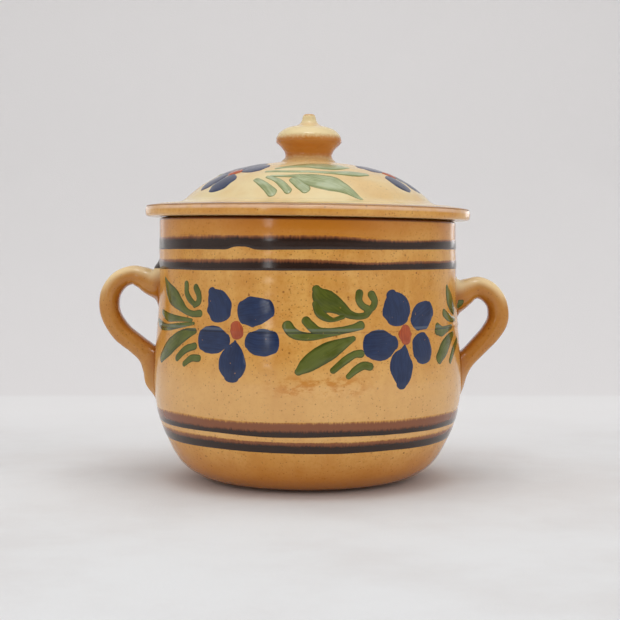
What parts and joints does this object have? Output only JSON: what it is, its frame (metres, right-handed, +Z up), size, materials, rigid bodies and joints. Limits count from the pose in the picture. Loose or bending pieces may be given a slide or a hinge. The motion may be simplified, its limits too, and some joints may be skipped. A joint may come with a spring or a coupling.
{
  "type": "lidded earthenware pot",
  "caption": "Round glazed earthenware cooking pot with ear handles and a lift-off domed lid with a turned knob, brown bands and a painted frieze of blue flowers and green leaves.",
  "frame": {"origin": "centre of the flat base, on the pot's axis", "axes": "+Z up along the pot's axis, +X through the right handle, the painted front faces -Y"},
  "size_m": [0.2352, 0.1846, 0.2078],
  "materials": {
    "body_glaze": "gloss",
    "handle_glaze": "gloss",
    "lid_glaze": "gloss",
    "inner_glaze": "gloss",
    "brown_slip": "gloss",
    "blue_slip": "gloss",
    "green_slip": "gloss",
    "red_slip": "gloss"
  },
  "bodies": {
    "pot": {"pot_body": "body_glaze", "left_handle": "handle_glaze", "right_handle": "handle_glaze"},
    "lid": {"lid": "lid_glaze", "lid_locating_ring": "inner_glaze", "lid_knob": "handle_glaze"}
  },
  "joints": [
    {"name": "lid_lift", "type": "slide", "parent": "pot", "child": "lid", "axis": [0, 0, 1], "range_m": [0, 0.09]}
  ]
}
